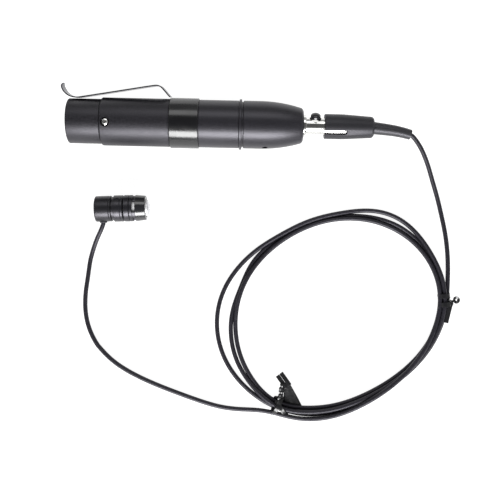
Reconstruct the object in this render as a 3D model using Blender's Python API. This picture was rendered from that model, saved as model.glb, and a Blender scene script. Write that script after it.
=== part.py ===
# Lavalier microphone with an in-line preamplifier: a small cylindrical microphone head on a thin cord,
# the cord coiled and tied twice, a four-contact miniature plug, and a tubular preamplifier with a
# three-pin output connector and a spring-steel belt clip.
#
# Lengths are in millimetres and become metres where meshes are made. The preamplifier lies along +X
# with its output connector at the -X end, everything rests on Z = 0, and the origin is the bottom
# centre of the preamplifier and head together.
import math

import bmesh
import bpy
from mathutils import Vector

MM = 0.001
GAP = 0.3                    # clearance that neighbouring pieces keep
SIDES = 36                   # facets around the large turned pieces
SMALL_SIDES = 16             # facets around pins, screws and other small pieces

# Where the preamplifier and the head lie
PREAMP_X = -49.72            # output end of the preamplifier's axis
PREAMP_Y = 13.7
PREAMP_ROLL = 10.0           # degrees: lifts the clip side a little off the table
PLUG_ROLL = 38.0             # degrees: latch button along the plug's +Y, handle slot along its +Z
HEAD_X = 11.1                # rear end of the head, from the output end
HEAD_Y = -37.68
HEAD_YAW = 2.6               # degrees

# Output connector
SHELL_RADIUS = 9.6
SHELL_BORE = 8.15
SHELL_LENGTH = 14.2
INSERT_FACE = 14.9
PIN_RADIUS = 1.2
PIN_CIRCLE = 3.9

# Preamplifier body
BODY_RADIUS = 10.28
BODY_BORE = 9.15
BAND_START = 43.85
BAND_END = 56.1
BAND_RADIUS = 10.75
BAND_BORE = 10.15
BAND_SEAT = 9.8
FRONT_RADIUS = 10.2
BODY_END = 73.35
RING_RADIUS = 10.8
RING_END = 74.5
NOSE_START = 75.2
NOSE_STRAIGHT = 7.2
NOSE_END = 101.0
NOSE_TIP_RADIUS = 7.35
COLLAR_RADIUS = 4.9
COLLAR_END = 102.3
SCREW_X = 17.05
NOSE_SCREW_X = 84.7
NOSE_SCREW_ANGLE = 70.0

# Belt clip: centre line as (x, distance from the axis), from the curled tip to the foot
CLIP_LINE = [(-2.1, 16.0), (-2.65, 14.9), (-1.75, 12.75), (-0.1, 11.15), (1.9, 10.3), (4.3, 10.1),
             (7.3, 10.55), (18.1, 12.4), (28.4, 14.2), (36.0, 15.5), (38.4, 15.7), (39.9, 15.1),
             (41.2, 13.8), (42.6, 12.2), (43.7, 11.0)]
CLIP_WIDTH = 7.0
CLIP_THICKNESS = 0.5

# Plug
PLUG_START = 94.3
PLUG_RADIUS = 3.82
PLUG_BORE = 3.3
HANDLE_START = 110.2
HANDLE_END = 131.5
HANDLE_RADIUS = 5.35
HANDLE_TIP_RADIUS = 4.45
CONTACT_CIRCLE = 1.75
BUTTON_X = 106.2
BUTTON_RADIUS = 2.15
BUTTON_TOP = 6.1
SLOT_LENGTH = 9.7
SLOT_WIDTH = 2.1

# Head
CAP_LENGTH = 7.1
CAP_RADIUS = 5.65
BARREL_RADIUS = 5.8
HEAD_RADIUS = 5.82
HEAD_LENGTH = 22.25
FRONT_RING_RADIUS = 5.35
PORT_START = 16.5
PORT_WIDTH = 1.3
PORT_TURN = -6.0             # degrees: turns the four rear sound ports about the head's axis
CORD_HOLE_X = 3.3

# Cord. Route points are (x, y, height), from the preamplifier's output end and axis.
CORD_RADIUS = 1.0
CORD_STEP = 2.6              # diameters between the points of a tube
RELIEF_ROUTE = [(128.6, 0.0, 10.75), (131.4, -0.2, 10.74), (134.4, -0.5, 10.7), (138.0, -0.85, 10.62),
                (141.5, -1.3, 10.46), (145.0, -1.95, 10.2), (147.8, -2.62, 9.9)]
RELIEF_RADII = (2.8, 2.2)
PLUG_ROUTE = [(148.45, -2.95, 9.75), (149.4, -3.75, 9.55), (151.35, -6.0, 8.95), (153.7, -9.5, 8.0),
              (156.5, -15.0, 6.2), (159.4, -22.3, 4.0), (162.0, -29.2, 2.3), (164.1, -36.2, 1.35),
              (166.0, -43.3, 1.02), (167.2, -50.4, 1.02), (167.8, -57.6, 1.02), (167.9, -64.3, 1.02)]
MIC_ROUTE = [(14.45, -44.4, 5.6), (13.4, -46.9, 5.0), (11.7, -50.3, 3.8), (10.2, -53.9, 2.6),
             (9.0, -57.5, 1.7), (8.1, -61.1, 1.15), (7.2, -68.3, 0.97), (6.4, -75.4, 1.02),
             (6.5, -82.6, 1.02), (8.0, -89.7, 1.02), (11.4, -96.8, 1.02), (16.9, -103.5, 1.02),
             (24.2, -108.5, 1.02), (35.0, -113.7, 1.02), (49.4, -119.0, 1.02), (63.8, -123.7, 1.02),
             (71.0, -125.2, 1.02), (78.2, -125.45, 1.02), (85.9, -125.3, 1.02)]

# Coil: its middle line and half width are circles with two-, three- and one-lobed swells,
# each swell given as (lobes, millimetres, degrees of its first peak)
COIL_X = 116.2
COIL_Y = -81.7
COIL_RADIUS = 45.6
COIL_SWELLS = [(1, 0.73, 21.0), (2, 4.56, 32.0), (3, 0.41, 26.0)]
COIL_HALF_WIDTH = 3.0
COIL_WIDTH_SWELLS = [(1, 0.87, -160.0), (2, 0.54, 25.5), (3, 0.63, 59.0)]
COIL_HEIGHT = 3.7
COIL_STEPS = 72
SIDE_TIE_ANGLE = 9.2
LOWER_TIE_ANGLE = -119.7
TIE_THICKNESS = 0.5
TIE_LOOP = [(90.9, -122.6), (91.85, -110.1), (94.8, -107.6), (98.0, -111.6), (104.1, -122.9),
            (100.9, -123.6), (95.4, -112.4), (94.2, -122.4)]


def clear_scene():
    for item in list(bpy.data.objects):
        bpy.data.objects.remove(item, do_unlink=True)


def make_material(name, colour, roughness, metallic=0.0):
    material = bpy.data.materials.new(name)
    material.use_nodes = True
    shader = material.node_tree.nodes["Principled BSDF"]
    shader.inputs["Base Color"].default_value = (*colour, 1.0)
    shader.inputs["Roughness"].default_value = roughness
    shader.inputs["Metallic"].default_value = metallic
    material.diffuse_color = (*colour, 1.0)
    return material


def make_empty(name, place, parent=None, turn=(0.0, 0.0, 0.0)):
    # Turns are in degrees, about X last, so that a tool axis is first tipped and then swung round X
    empty = bpy.data.objects.new(name, None)
    bpy.context.collection.objects.link(empty)
    empty.parent = parent
    empty.location = Vector(place) * MM
    empty.rotation_mode = "ZYX"
    empty.rotation_euler = [math.radians(angle) for angle in turn]
    return empty


def radial_axis(name, x, angle, parent):
    # An empty on the parent's X axis whose own +X points outwards, angle degrees from +Z towards -Y
    return make_empty(name, (x, 0.0, 0.0), parent, (angle, -90.0, 0.0))


def add_object(name, mesh, parent, material, sharp=35.0):
    item = bpy.data.objects.new(name, mesh)
    bpy.context.collection.objects.link(item)
    item.parent = parent
    mesh.materials.append(material)
    mesh.shade_smooth()
    mesh.set_sharp_from_angle(angle=math.radians(sharp))
    return item


def finish_mesh(name, bm):
    bmesh.ops.remove_doubles(bm, verts=bm.verts, dist=1e-7)
    bmesh.ops.recalc_face_normals(bm, faces=bm.faces)
    mesh = bpy.data.meshes.new(name)
    bm.to_mesh(mesh)
    bm.free()
    return mesh


def turned_mesh(name, outline, sides, hollow):
    # Spins an outline of (x, radius) points round the X axis. A hollow one is a closed loop.
    bm = bmesh.new()
    verts = [bm.verts.new((x * MM, 0.0, radius * MM)) for x, radius in outline]
    edges = [bm.edges.new(pair) for pair in zip(verts, verts[1:])]
    if hollow:
        edges.append(bm.edges.new((verts[-1], verts[0])))
    bmesh.ops.spin(bm, geom=verts + edges, cent=(0, 0, 0), axis=(1, 0, 0), angle=math.tau,
                   steps=sides, use_merge=True)
    return finish_mesh(name, bm)


def turned(name, outline, parent, material, sides=SIDES, hollow=True):
    return add_object(name, turned_mesh(name, outline, sides, hollow), parent, material)


def tube(name, start, end, outer, bore, parent, material, sides=SIDES):
    outline = [(start, bore), (start, outer), (end, outer), (end, bore)]
    return turned(name, outline, parent, material, sides)


def rod(name, start, end, radius, parent, material, sides=SMALL_SIDES, tip=0.0):
    outline = [(start, 0.0), (start, radius), (end - tip, radius), (end, radius - tip), (end, 0.0)]
    if not tip:
        del outline[3]
        outline[2] = (end, radius)
    return turned(name, outline, parent, material, sides, hollow=False)


def block(name, low, high, parent, material):
    bm = bmesh.new()
    bmesh.ops.create_cube(bm, size=1.0)
    for vert in bm.verts:
        vert.co = Vector([(a + b) / 2 + side * (b - a) for a, b, side in zip(low, high, vert.co)]) * MM
    return add_object(name, finish_mesh(name, bm), parent, material)


def lofted(name, rings, parent, material, closed=False, sharp=35.0):
    # Joins equal rings of points, in millimetres, into one skin, round to the first ring when closed
    bm = bmesh.new()
    rows = [[bm.verts.new(Vector(point) * MM) for point in ring] for ring in rings]
    count = len(rows[0])
    pairs = list(zip(rows, rows[1:] + rows[:1]))
    for first, second in pairs if closed else pairs[:-1]:
        for index in range(count):
            after = (index + 1) % count
            bm.faces.new((first[index], first[after], second[after], second[index]))
    if not closed:
        bm.faces.new(rows[0])
        bm.faces.new(rows[-1][::-1])
    return add_object(name, finish_mesh(name, bm), parent, material, sharp)


def combine(target, tool, operation):
    tool.hide_render = True
    tool.display_type = "WIRE"
    modifier = target.modifiers.new(tool.name, "BOOLEAN")
    modifier.operation = operation
    modifier.solver = "EXACT"
    modifier.object = tool


def smooth_line(points, step):
    # A Catmull-Rom curve through the points, read at equal steps along it
    route = [Vector(point) for point in points]
    padded = [2 * route[0] - route[1]] + route + [2 * route[-1] - route[-2]]
    fine = []
    for a, b, c, d in zip(padded, padded[1:], padded[2:], padded[3:]):
        for part in range(16):
            t = part / 16
            fine.append(0.5 * (2 * b + (c - a) * t + (2 * a - 5 * b + 4 * c - d) * t * t
                               + (3 * b - a - 3 * c + d) * t ** 3))
    fine.append(route[-1])
    reach = [0.0]
    for a, b in zip(fine, fine[1:]):
        reach.append(reach[-1] + (b - a).length)
    count = max(2, round(reach[-1] / step))
    line = []
    index = 0
    for place in range(count):
        goal = reach[-1] * place / count
        while reach[index + 1] < goal:
            index += 1
        share = (goal - reach[index]) / (reach[index + 1] - reach[index])
        line.append(fine[index].lerp(fine[index + 1], share))
    return line + [route[-1]]


def cord_tube(name, line, radii, parent, material, resolution=2):
    # A round tube along a line, its radius running evenly from the first value to the second
    curve = bpy.data.curves.new(name, "CURVE")
    curve.dimensions = "3D"
    curve.bevel_depth = MM
    curve.bevel_resolution = resolution
    curve.use_fill_caps = True
    spline = curve.splines.new("POLY")
    spline.points.add(len(line) - 1)
    for index, (point, place) in enumerate(zip(spline.points, line)):
        share = index / (len(line) - 1)
        point.co = (*(place * MM), 1.0)
        point.radius = radii[0] + (radii[1] - radii[0]) * share
    item = bpy.data.objects.new(name, curve)
    bpy.context.collection.objects.link(item)
    item.parent = parent
    curve.materials.append(material)
    return item


def make_materials():
    return {
        "body_paint": make_material("body_paint", (0.022, 0.022, 0.024), 0.55),
        "clip_steel": make_material("clip_steel", (0.03, 0.03, 0.035), 0.25, 1.0),
        "band_gloss": make_material("band_gloss", (0.01, 0.01, 0.012), 0.15),
        "nickel": make_material("nickel", (0.75, 0.75, 0.74), 0.2, 1.0),
        "gold": make_material("gold", (0.83, 0.62, 0.28), 0.25, 1.0),
        "black_plastic": make_material("black_plastic", (0.02, 0.02, 0.022), 0.45),
        "rubber": make_material("rubber", (0.018, 0.018, 0.02), 0.6),
        "board": make_material("board", (0.03, 0.16, 0.07), 0.5),
        "component": make_material("component", (0.05, 0.05, 0.06), 0.4),
        "foam": make_material("foam", (0.05, 0.05, 0.05), 0.9),
        "anodised": make_material("anodised", (0.02, 0.02, 0.023), 0.35, 0.6),
    }


def build_output_connector(axis, looks):
    spigot = SHELL_RADIUS - 0.65
    step = 8.0
    shell = turned("xlr_shell", [
        (0.0, SHELL_BORE), (0.0, SHELL_RADIUS - 0.4), (0.4, SHELL_RADIUS), (SHELL_LENGTH, SHELL_RADIUS),
        (SHELL_LENGTH, spigot), (SHELL_LENGTH + step, spigot), (SHELL_LENGTH + step, SHELL_BORE)],
        axis, looks["body_paint"])
    keyway = block("xlr_keyway_cutter", (-1.0, -1.2, -8.9), (6.0, 1.2, -7.5), axis, looks["body_paint"])
    combine(shell, keyway, "DIFFERENCE")

    insert_end = INSERT_FACE + 6.0
    insert = rod("xlr_insert", INSERT_FACE, insert_end, SHELL_BORE - GAP, axis, looks["black_plastic"],
                 sides=SIDES)
    screw_axis = radial_axis("retaining_screw_axis", SCREW_X, 0.0, axis)
    for number, angle in enumerate((0.0, 180.0, 270.0), start=1):
        y = PIN_CIRCLE * math.cos(math.radians(angle))
        z = PIN_CIRCLE * math.sin(math.radians(angle))
        pin_axis = make_empty(f"xlr_pin_{number}_axis", (0.0, y, z), axis)
        turned(f"xlr_pin_{number}", [
            (1.6, 0.0), (1.6, 0.5), (2.3, PIN_RADIUS), (22.0, PIN_RADIUS), (22.0, 0.0)],
            pin_axis, looks["nickel"], SMALL_SIDES, hollow=False)
        hole = rod(f"xlr_pin_{number}_cutter", INSERT_FACE - 1, insert_end + 1, PIN_RADIUS + GAP, pin_axis,
                   looks["nickel"])
        combine(insert, hole, "DIFFERENCE")

    shank = 0.8
    head_bottom = spigot + GAP
    screw = turned("xlr_retaining_screw", [
        (6.4, 0.0), (6.4, shank), (head_bottom, shank), (head_bottom, 1.5), (head_bottom + 0.55, 1.5),
        (head_bottom + 0.75, 1.2), (head_bottom + 0.75, 0.0)],
        screw_axis, looks["nickel"], SMALL_SIDES, hollow=False)
    slot_depth = head_bottom + 0.4
    for name, low, high in (("screw_slot_cutter_long", (-1.6, -0.25), (1.6, 0.25)),
                            ("screw_slot_cutter_cross", (-0.25, -1.6), (0.25, 1.6))):
        slot = block(name, (slot_depth, *low), (slot_depth + 1, *high), screw_axis, looks["nickel"])
        combine(screw, slot, "DIFFERENCE")
    for target, low, radius in ((shell, 7.5, shank + GAP), (insert, 6.0, shank + GAP)):
        hole = rod(f"{target.name}_screw_cutter", low, spigot + 0.2, radius, screw_axis, looks["nickel"])
        combine(target, hole, "DIFFERENCE")
    return screw_axis


def build_body(axis, screw_axis, looks):
    start = SHELL_LENGTH + GAP
    chamfer = 0.35
    body = turned("body_tube", [
        (start, BODY_BORE), (start, BODY_RADIUS - chamfer), (start + chamfer, BODY_RADIUS),
        (BAND_START - 0.25, BODY_RADIUS), (BAND_START - 0.25, BAND_SEAT), (BAND_END + 0.3, BAND_SEAT),
        (BAND_END + 0.3, FRONT_RADIUS), (BODY_END, FRONT_RADIUS), (BODY_END, BODY_BORE)],
        axis, looks["body_paint"])
    recess = rod("body_screw_cutter", BODY_BORE - 1, BODY_RADIUS + 1, 2.15, screw_axis, looks["nickel"],
                 sides=24)
    combine(body, recess, "DIFFERENCE")

    turned("seam_ring", [
        (BODY_END + 0.15, 9.2), (BODY_END + 0.15, RING_RADIUS), (RING_END, RING_RADIUS), (RING_END, 9.75),
        (NOSE_START - 0.1, 9.75), (NOSE_START - 0.1, 9.2)], axis, looks["body_paint"])

    nose_radius = FRONT_RADIUS + 0.025
    straight_end = NOSE_START + NOSE_STRAIGHT
    span = NOSE_END - straight_end
    drop = nose_radius - NOSE_TIP_RADIUS
    arc = (span * span + drop * drop) / (2 * drop)
    curve = []
    steps = 6
    for index in range(1, steps + 1):
        x = (span - 0.7) * index / steps
        curve.append((straight_end + x, nose_radius - arc + math.sqrt(arc * arc - x * x)))
    tip_radius = curve[-1][1]
    outline = [(67.5, 8.85 - 1.2), (67.5, 8.85), (NOSE_START, 8.85), (NOSE_START, nose_radius - 0.3),
               (NOSE_START + 0.3, nose_radius), (straight_end, nose_radius)]
    outline += curve
    outline += [(NOSE_END, tip_radius - 0.9), (NOSE_END, COLLAR_RADIUS + GAP), (97.6, COLLAR_RADIUS + GAP),
                (97.6, 6.0), (88.0, 7.65)]
    nose = turned("nose_shell", outline, axis, looks["body_paint"])

    set_axis = radial_axis("nose_screw_axis", NOSE_SCREW_X, NOSE_SCREW_ANGLE, axis)
    hole = rod("nose_screw_cutter", 6.5, BODY_RADIUS + 1, 1.15, set_axis, looks["nickel"])
    combine(nose, hole, "DIFFERENCE")
    screw = rod("nose_set_screw", 7.2, 9.2, 0.85, set_axis, looks["clip_steel"])
    socket = rod("nose_screw_socket_cutter", 8.4, 10.0, 0.45, set_axis, looks["clip_steel"], sides=6)
    combine(screw, socket, "DIFFERENCE")


def build_clip(axis, looks):
    tube("clip_band", BAND_START, BAND_END, BAND_RADIUS, BAND_BORE, axis, looks["band_gloss"], 48)
    hinge = make_empty("clip_hinge_axis", (*CLIP_LINE[-1], 0.0), axis)
    line = smooth_line([(x, reach, 0.0) for x, reach in CLIP_LINE], 1.5)
    half = CLIP_WIDTH / 2
    rings = []
    travelled = 0.0
    for index, place in enumerate(line):
        before = line[max(index - 1, 0)]
        after = line[min(index + 1, len(line) - 1)]
        tangent = (after - before).normalized()
        normal = Vector((-tangent.y, tangent.x, 0.0))
        if index:
            travelled += (place - before).length
        inset = max(0.0, 1.0 - (travelled + 0.15) / half)
        width = half * math.sqrt(1.0 - inset * inset)
        thick = CLIP_THICKNESS / 2
        corners = [(1, 1), (1, -1), (-1, -1), (-1, 1)]
        centre = place - Vector((*CLIP_LINE[-1], 0.0))
        rings.append([centre + normal * thick * a + Vector((0, 0, width * b)) for a, b in corners])
    lofted("clip_arm", rings, hinge, looks["clip_steel"])


def build_electronics(axis, looks):
    board_top = 0.8
    block("circuit_board", (24.5, -7.0, -0.8), (66.5, 7.0, board_top), axis, looks["board"])
    deck = board_top + GAP
    for number, x in enumerate((28.0, 36.5), start=1):
        capacitor = make_empty(f"capacitor_{number}_axis", (x, 0.0, deck + 2.5), axis)
        rod(f"capacitor_{number}", 0.0, 7.5, 2.5, capacitor, looks["component"], tip=0.4)
    block("amplifier_chip", (47.0, -2.0, deck), (52.0, 2.0, deck + 1.6), axis, looks["component"])
    block("output_transistor", (56.0, -4.5, deck), (58.9, -1.5, deck + 1.2), axis, looks["component"])
    block("filter_choke", (56.0, 1.2, deck), (60.5, 5.2, deck + 3.2), axis, looks["component"])
    block("ground_spring", (25.0, -1.5, -8.3), (33.0, 1.5, -7.9), axis, looks["nickel"])


def build_socket(axis, looks):
    inner = PLUG_RADIUS + 0.33
    shell = turned("jack_shell", [
        (86.0, inner), (86.0, COLLAR_RADIUS - 0.3), (NOSE_END + 0.1, COLLAR_RADIUS - 0.3),
        (NOSE_END + 0.1, COLLAR_RADIUS), (COLLAR_END - 0.25, COLLAR_RADIUS), (COLLAR_END, COLLAR_RADIUS - 0.25),
        (COLLAR_END, inner)], axis, looks["nickel"])
    for number, angle in enumerate((25.0, 145.0, 265.0), start=1):
        notch_axis = radial_axis(f"jack_notch_{number}_axis", COLLAR_END, angle, axis)
        notch = block(f"jack_notch_{number}_cutter", (inner - 0.5, -0.6, -0.75), (6.0, 0.6, 0.75), notch_axis,
                      looks["nickel"])
        combine(shell, notch, "DIFFERENCE")
    tube("jack_nut", 93.4, 96.4, 5.85, COLLAR_RADIUS + 0.05, axis, looks["nickel"], 24)
    insert = rod("jack_insert", 86.6, 90.0, inner - GAP, axis, looks["black_plastic"], sides=24)
    for number in range(1, 5):
        angle = math.radians(PLUG_ROLL - PREAMP_ROLL - 45.0 + 90.0 * number)
        place = (0.0, CONTACT_CIRCLE * math.cos(angle), CONTACT_CIRCLE * math.sin(angle))
        pin_axis = make_empty(f"jack_pin_{number}_axis", place, axis)
        rod(f"jack_pin_{number}", 84.0, 98.8, 0.4, pin_axis, looks["gold"], sides=12, tip=0.15)
        hole = rod(f"jack_pin_{number}_cutter", 85.0, 91.0, 0.4 + GAP, pin_axis, looks["gold"], sides=12)
        combine(insert, hole, "DIFFERENCE")


def build_plug(axis, looks):
    shell = turned("plug_shell", [
        (PLUG_START, PLUG_BORE), (PLUG_START, PLUG_RADIUS - 0.2), (PLUG_START + 0.2, PLUG_RADIUS),
        (118.5, PLUG_RADIUS), (118.5, PLUG_BORE)], axis, looks["nickel"])
    key = block("plug_key_guide", (HANDLE_START - 0.6, -SLOT_WIDTH / 2 + GAP, PLUG_BORE + 0.2),
                (118.0, SLOT_WIDTH / 2 - GAP, 4.7), axis, looks["nickel"])
    combine(shell, key, "UNION")

    insert = rod("plug_insert", PLUG_START + 0.6, 103.2, PLUG_BORE - GAP, axis, looks["black_plastic"],
                 sides=24)
    for number in range(1, 5):
        angle = math.radians(-45.0 + 90.0 * number)
        place = (0.0, CONTACT_CIRCLE * math.cos(angle), CONTACT_CIRCLE * math.sin(angle))
        contact_axis = make_empty(f"plug_contact_{number}_axis", place, axis)
        rod(f"plug_contact_{number}", 99.8, 108.5, 0.55, contact_axis, looks["gold"], sides=12)
        socket = turned(f"plug_contact_{number}_cutter", [
            (94.0, 0.0), (94.0, 0.7), (99.4, 0.7), (99.4, 0.85), (104.0, 0.85), (104.0, 0.0)],
            contact_axis, looks["gold"], 12, hollow=False)
        combine(insert, socket, "DIFFERENCE")

    button_axis = make_empty("latch_button_axis", (BUTTON_X, 0.0, 0.0), axis, (0.0, 0.0, 90.0))
    dome = [(BUTTON_TOP - 0.28 * BUTTON_RADIUS * (1 - math.cos(math.radians(a))) * 2.2,
             BUTTON_RADIUS * math.sin(math.radians(a))) for a in (75, 50, 25)]
    turned("latch_button", [(3.6, 0.0), (3.6, 0.9), (4.0, 0.9), (4.0, BUTTON_RADIUS), (4.9, BUTTON_RADIUS)]
           + dome + [(BUTTON_TOP, 0.0)], button_axis, looks["black_plastic"], 20, hollow=False)
    opening = rod("plug_button_cutter", 2.0, 7.0, BUTTON_RADIUS + GAP + 0.05, button_axis, looks["nickel"],
                  sides=20)
    combine(shell, opening, "DIFFERENCE")
    block("latch_spring", (104.2, 2.1, -1.0), (112.0, 2.4, 1.0), axis, looks["nickel"])

    bore = PLUG_RADIUS + GAP
    handle = turned("plug_handle", [
        (HANDLE_START, bore), (HANDLE_START, HANDLE_RADIUS - 0.3), (HANDLE_START + 0.3, HANDLE_RADIUS),
        (HANDLE_START + 8.0, HANDLE_RADIUS), (HANDLE_END - 0.8, HANDLE_TIP_RADIUS + 0.12),
        (HANDLE_END, HANDLE_TIP_RADIUS - 0.5), (HANDLE_END, 3.2), (120.5, 3.2), (120.5, bore)],
        axis, looks["black_plastic"])
    slot_end = HANDLE_START + SLOT_LENGTH - SLOT_WIDTH / 2
    slot = block("handle_slot_cutter", (HANDLE_START - 1, -SLOT_WIDTH / 2, 3.4),
                 (slot_end, SLOT_WIDTH / 2, 6.0), axis, looks["black_plastic"])
    combine(handle, slot, "DIFFERENCE")
    end_axis = make_empty("handle_slot_end_axis", (slot_end, 0.0, 0.0), axis, (0.0, -90.0, 0.0))
    slot_round = rod("handle_slot_round_cutter", 3.4, 6.0, SLOT_WIDTH / 2, end_axis, looks["black_plastic"])
    combine(handle, slot_round, "DIFFERENCE")
    tube("cord_clamp", 121.5, 126.5, 2.2, 1.2, axis, looks["nickel"], 16)


def build_head(axis, looks):
    corner = 0.5
    bore = 4.0
    cap = turned("head_rear_cap", [
        (0.0, 0.0), (0.0, CAP_RADIUS - corner), (0.15, CAP_RADIUS - 0.15), (corner, CAP_RADIUS),
        (CAP_LENGTH, CAP_RADIUS), (CAP_LENGTH, 4.5), (9.4, 4.5), (9.4, bore), (1.0, bore), (1.0, 0.0)],
        axis, looks["anodised"], hollow=False)
    hole_axis = radial_axis("cord_hole_axis", CORD_HOLE_X, 90.0, axis)
    seat = rod("cord_seat_cutter", 4.7, 8.0, 1.95, hole_axis, looks["rubber"], sides=20)
    hole = rod("cord_hole_cutter", 3.0, 8.0, 1.7, hole_axis, looks["rubber"])
    combine(cap, seat, "DIFFERENCE")
    combine(cap, hole, "DIFFERENCE")
    turned("cord_grommet", [(3.7, 1.0), (3.7, 1.4), (5.0, 1.4), (5.0, 1.65), (6.0, 1.65), (6.15, 1.5),
                            (6.15, 1.0)], hole_axis, looks["rubber"], 20)

    tube("head_barrel", CAP_LENGTH + GAP, 12.4, BARREL_RADIUS, 4.8, axis, looks["anodised"])
    rod("contact_insulator", 9.9, 11.0, 4.0, axis, looks["black_plastic"], sides=24)
    hub = bpy.data.objects["contact_insulator"]
    pin_hole = rod("contact_pin_cutter", 9.0, 12.0, 0.9, axis, looks["gold"])
    combine(hub, pin_hole, "DIFFERENCE")
    rod("contact_pin", 8.6, 12.8, 0.6, axis, looks["gold"], sides=12, tip=0.2)

    front = PORT_START + PORT_WIDTH
    housing = turned("cartridge_housing", [
        (12.7, 4.65), (12.7, HEAD_RADIUS - 0.15), (12.9, HEAD_RADIUS), (PORT_START, HEAD_RADIUS),
        (front, HEAD_RADIUS), (HEAD_LENGTH - 0.2, FRONT_RING_RADIUS), (HEAD_LENGTH, FRONT_RING_RADIUS - 0.15),
        (HEAD_LENGTH, 3.95), (HEAD_LENGTH - 0.6, 3.95), (HEAD_LENGTH - 0.6, 4.65)], axis, looks["anodised"])
    half_angle = math.radians(29.0)
    for number in range(4):
        port_axis = radial_axis(f"sound_port_{number + 1}_axis", 0.0, PORT_TURN + 90.0 * number, axis)
        reach = 9.0 * math.sin(half_angle)
        depth = 9.0 * math.cos(half_angle)
        wedge = [(0.6, 0.0), (depth, reach), (depth, -reach)]
        rings = [[(r, side, -x) for r, side in wedge] for x in (PORT_START, front)]
        port = lofted(f"sound_port_{number + 1}_cutter", rings, port_axis, looks["anodised"])
        combine(housing, port, "DIFFERENCE")

    turned("cartridge_can", [
        (13.2, 3.9), (13.2, 4.3), (HEAD_LENGTH - 0.95, 4.3), (HEAD_LENGTH - 0.95, 3.65),
        (HEAD_LENGTH + 0.5, 3.65), (HEAD_LENGTH + 0.7, 3.5), (HEAD_LENGTH + 0.7, 3.3),
        (HEAD_LENGTH - 1.4, 3.3), (HEAD_LENGTH - 1.4, 3.9)], axis, looks["nickel"])
    dome_radius = 3.0
    outer = [(HEAD_LENGTH + 1.5 - 0.9 * (1 - math.cos(math.radians(a))), dome_radius * math.sin(math.radians(a)))
             for a in (90, 60, 30, 0)]
    turned("front_grille", [(HEAD_LENGTH - 0.2, 0.0), (HEAD_LENGTH - 0.2, dome_radius)] + outer, axis,
           looks["nickel"], 24, hollow=False)
    rod("foam_disc", 20.6, 21.75, 2.9, axis, looks["foam"], sides=20)
    rod("microphone_capsule", 17.3, 20.3, 3.0, axis, looks["nickel"], sides=24)
    tube("damping_felt", 15.8, 17.0, 3.6, 1.2, axis, looks["foam"], 20)
    rod("capsule_board", 13.6, 14.6, 3.5, axis, looks["board"], sides=20)


def coil_swell(swells, angle):
    return sum(size * math.cos(lobes * (angle - math.radians(peak))) for lobes, size, peak in swells)


def coil_section(angle):
    middle = COIL_RADIUS + coil_swell(COIL_SWELLS, angle)
    half = COIL_HALF_WIDTH + coil_swell(COIL_WIDTH_SWELLS, angle)
    lift = 0.1
    for tie in (SIDE_TIE_ANGLE, LOWER_TIE_ANGLE):
        away = math.remainder(angle - math.radians(tie), math.tau) / math.radians(16.0)
        lift += 0.8 * max(0.0, 1.0 - away * away)
    return middle, half, lift


def coil_place(angle, reach, along=0.0, height=0.0):
    x = COIL_X + reach * math.cos(angle) - along * math.sin(angle)
    y = COIL_Y + reach * math.sin(angle) + along * math.cos(angle)
    return (x, y, height)


def build_cord(table, looks):
    step = CORD_STEP * 2 * CORD_RADIUS
    relief = smooth_line(RELIEF_ROUTE, 1.6)
    cord_tube("strain_relief", relief, RELIEF_RADII, table, looks["rubber"], 3)
    radii = (CORD_RADIUS, CORD_RADIUS)
    cord_tube("plug_lead", smooth_line(PLUG_ROUTE, step), radii, table, looks["rubber"])
    cord_tube("mic_lead", smooth_line(MIC_ROUTE, step), radii, table, looks["rubber"])

    rings = []
    for index in range(COIL_STEPS):
        angle = math.tau * index / COIL_STEPS
        middle, half, lift = coil_section(angle)
        corner = 0.8
        section = [(-half, lift + corner), (-half + corner, lift), (half - corner, lift), (half, lift + corner),
                   (half, COIL_HEIGHT - corner), (half - corner, COIL_HEIGHT), (-half + corner, COIL_HEIGHT),
                   (-half, COIL_HEIGHT - corner)]
        rings.append([coil_place(angle, middle + side, 0.0, height) for side, height in section])
    lofted("cable_coil", rings, table, looks["rubber"], closed=True)


def tie_band(name, degrees, width, tab, table, material):
    # A flat band round the coil's bundle, with a tab of the given length at its outer side
    angle = math.radians(degrees)
    middle, half, lift = coil_section(angle)
    side = half + GAP + 0.1
    low = TIE_THICKNESS
    high = COIL_HEIGHT + GAP + 0.1
    inner = [(-side, low), (side, low), (side, high), (-side, high)]
    thick = TIE_THICKNESS
    waist = (low + high) / 2
    outer = [(-side - thick, low - thick), (side + thick, low - thick), (side + thick, high + thick),
             (-side - thick, high + thick)]
    rings = []
    for along, loop in ((-width / 2, inner), (-width / 2, outer), (width / 2, outer), (width / 2, inner)):
        rings.append([coil_place(angle, middle + reach, along, height) for reach, height in loop])
    band = lofted(name, rings, table, material, closed=True, sharp=20.0)
    if tab:
        ends = (middle + side + 0.1, middle + side + thick + tab)
        section = [(-width / 2 + 0.3, waist - 0.4), (width / 2 - 0.3, waist - 0.4), (width / 2 - 0.3, waist + 0.4),
                   (-width / 2 + 0.3, waist + 0.4)]
        tab_rings = [[coil_place(angle, reach, along, height) for along, height in section] for reach in ends]
        combine(band, lofted(f"{name}_tab_guide", tab_rings, table, material), "UNION")
    return band


def build_ties(table, looks):
    tie_band("side_tie", SIDE_TIE_ANGLE, 3.0, 3.2, table, looks["rubber"])
    lower = tie_band("lower_tie", LOWER_TIE_ANGLE, 4.0, 0.0, table, looks["rubber"])
    base = COIL_HEIGHT + GAP + 0.25
    rings = [[(x, y, height) for x, y in TIE_LOOP] for height in (base, base + TIE_THICKNESS)]
    combine(lower, lofted("lower_tie_loop_guide", rings, table, looks["rubber"]), "UNION")


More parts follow.
